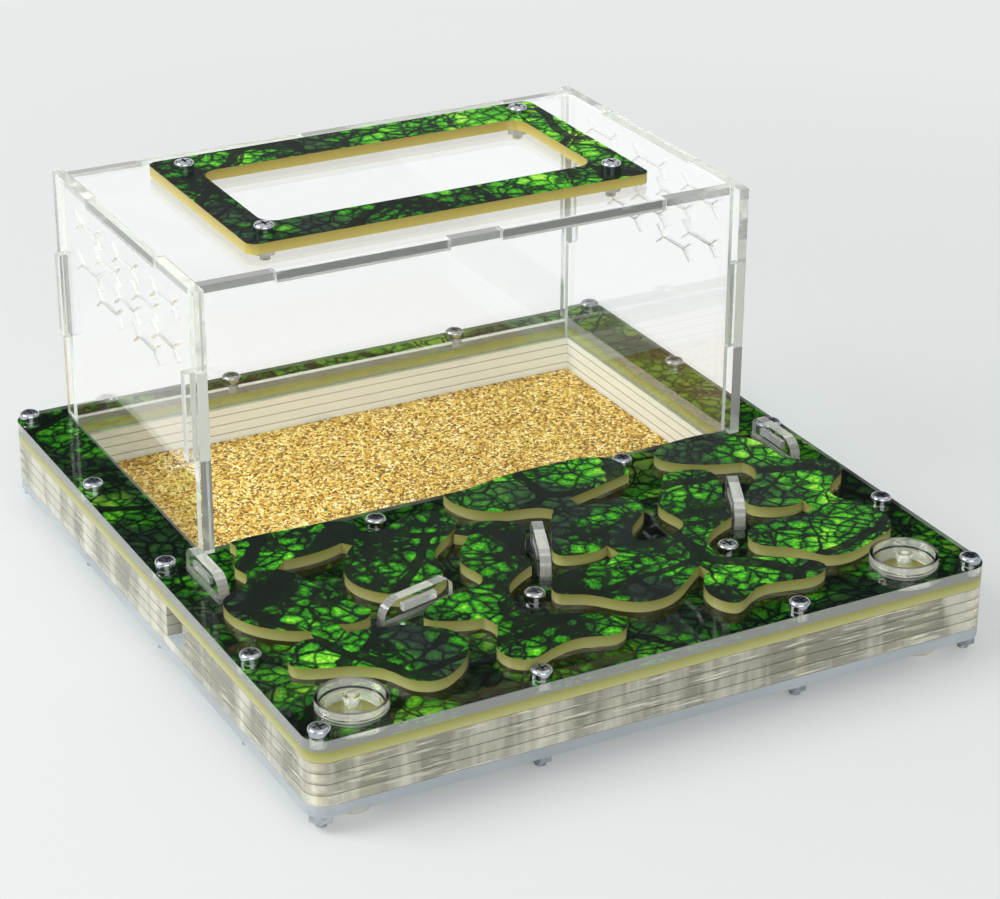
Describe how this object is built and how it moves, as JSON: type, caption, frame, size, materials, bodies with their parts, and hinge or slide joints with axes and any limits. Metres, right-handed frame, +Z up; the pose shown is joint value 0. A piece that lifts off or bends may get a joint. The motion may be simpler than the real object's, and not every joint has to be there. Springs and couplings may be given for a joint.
{
  "type": "ant habitat",
  "caption": "Ant nest of stacked clear sheets with leaf-print shade plates, gates and water wells, and a lidded clear arena with sand on its back half.",
  "frame": {"origin": "middle of the base's footprint, on the surface that the feet stand on", "axes": "+Z up, +Y from the nest's front edge towards the arena, +X to the right seen from the nest's side"},
  "size_m": [0.196, 0.208, 0.1057],
  "materials": {
    "clear_acrylic": "polished clear cast acrylic sheet",
    "milky_acrylic": "milky satin acrylic sheet",
    "leaf_print": "tinted yellow acrylic with a printed leaf vein pattern on top",
    "zinc_steel": "bright zinc plated steel",
    "soft_rubber": "translucent soft rubber",
    "sand": "golden quartz sand"
  },
  "bodies": {
    "base": {"bottom_plate": "milky_acrylic", "spacer_layer_1": "clear_acrylic", "spacer_layer_2": "clear_acrylic", "spacer_layer_3": "clear_acrylic", "spacer_layer_4": "clear_acrylic", "leaf_print_sheet": "leaf_print", "cover_sheet": "clear_acrylic", "base_screws": "zinc_steel", "base_nuts": "zinc_steel", "rubber_feet": "soft_rubber", "sand_bed": "sand", "arena_wall_left": "clear_acrylic", "arena_wall_right": "clear_acrylic", "arena_wall_front": "clear_acrylic", "arena_wall_back": "clear_acrylic"},
    "lid": {"lid_plate": "clear_acrylic", "lid_frame": "leaf_print", "lid_screws": "zinc_steel", "lid_nuts": "zinc_steel"},
    "plate_a": {"shade_plate_a": "leaf_print"},
    "plate_b": {"shade_plate_b": "leaf_print"},
    "plate_c": {"shade_plate_c": "leaf_print"},
    "plate_d": {"shade_plate_d": "leaf_print"},
    "gate_left": {"gate_left": "clear_acrylic"},
    "gate_right": {"gate_right": "clear_acrylic"},
    "gate_ab": {"gate_ab": "clear_acrylic"},
    "gate_bc": {"gate_bc": "clear_acrylic"},
    "gate_cd": {"gate_cd": "clear_acrylic"},
    "cap_left": {"water_cap_left": "clear_acrylic"},
    "cap_right": {"water_cap_right": "clear_acrylic"}
  },
  "joints": [
    {"name": "lid_lift", "type": "slide", "parent": "base", "child": "lid", "axis": [0, 0, 1], "range_m": [0, 0.06]},
    {"name": "plate_a_lift", "type": "slide", "parent": "base", "child": "plate_a", "axis": [0, 0, 1], "range_m": [0, 0.02]},
    {"name": "plate_b_lift", "type": "slide", "parent": "base", "child": "plate_b", "axis": [0, 0, 1], "range_m": [0, 0.02]},
    {"name": "plate_c_lift", "type": "slide", "parent": "base", "child": "plate_c", "axis": [0, 0, 1], "range_m": [0, 0.02]},
    {"name": "plate_d_lift", "type": "slide", "parent": "base", "child": "plate_d", "axis": [0, 0, 1], "range_m": [0, 0.02]},
    {"name": "gate_left_lift", "type": "slide", "parent": "base", "child": "gate_left", "axis": [0, 0, 1], "range_m": [0, 0.016]},
    {"name": "gate_right_lift", "type": "slide", "parent": "base", "child": "gate_right", "axis": [0, 0, 1], "range_m": [0, 0.016]},
    {"name": "gate_ab_lift", "type": "slide", "parent": "base", "child": "gate_ab", "axis": [0, 0, 1], "range_m": [0, 0.016]},
    {"name": "gate_bc_lift", "type": "slide", "parent": "base", "child": "gate_bc", "axis": [0, 0, 1], "range_m": [0, 0.016]},
    {"name": "gate_cd_lift", "type": "slide", "parent": "base", "child": "gate_cd", "axis": [0, 0, 1], "range_m": [0, 0.016]},
    {"name": "cap_left_lift", "type": "slide", "parent": "base", "child": "cap_left", "axis": [0, 0, 1], "range_m": [0, 0.012]},
    {"name": "cap_right_lift", "type": "slide", "parent": "base", "child": "cap_right", "axis": [0, 0, 1], "range_m": [0, 0.012]}
  ]
}
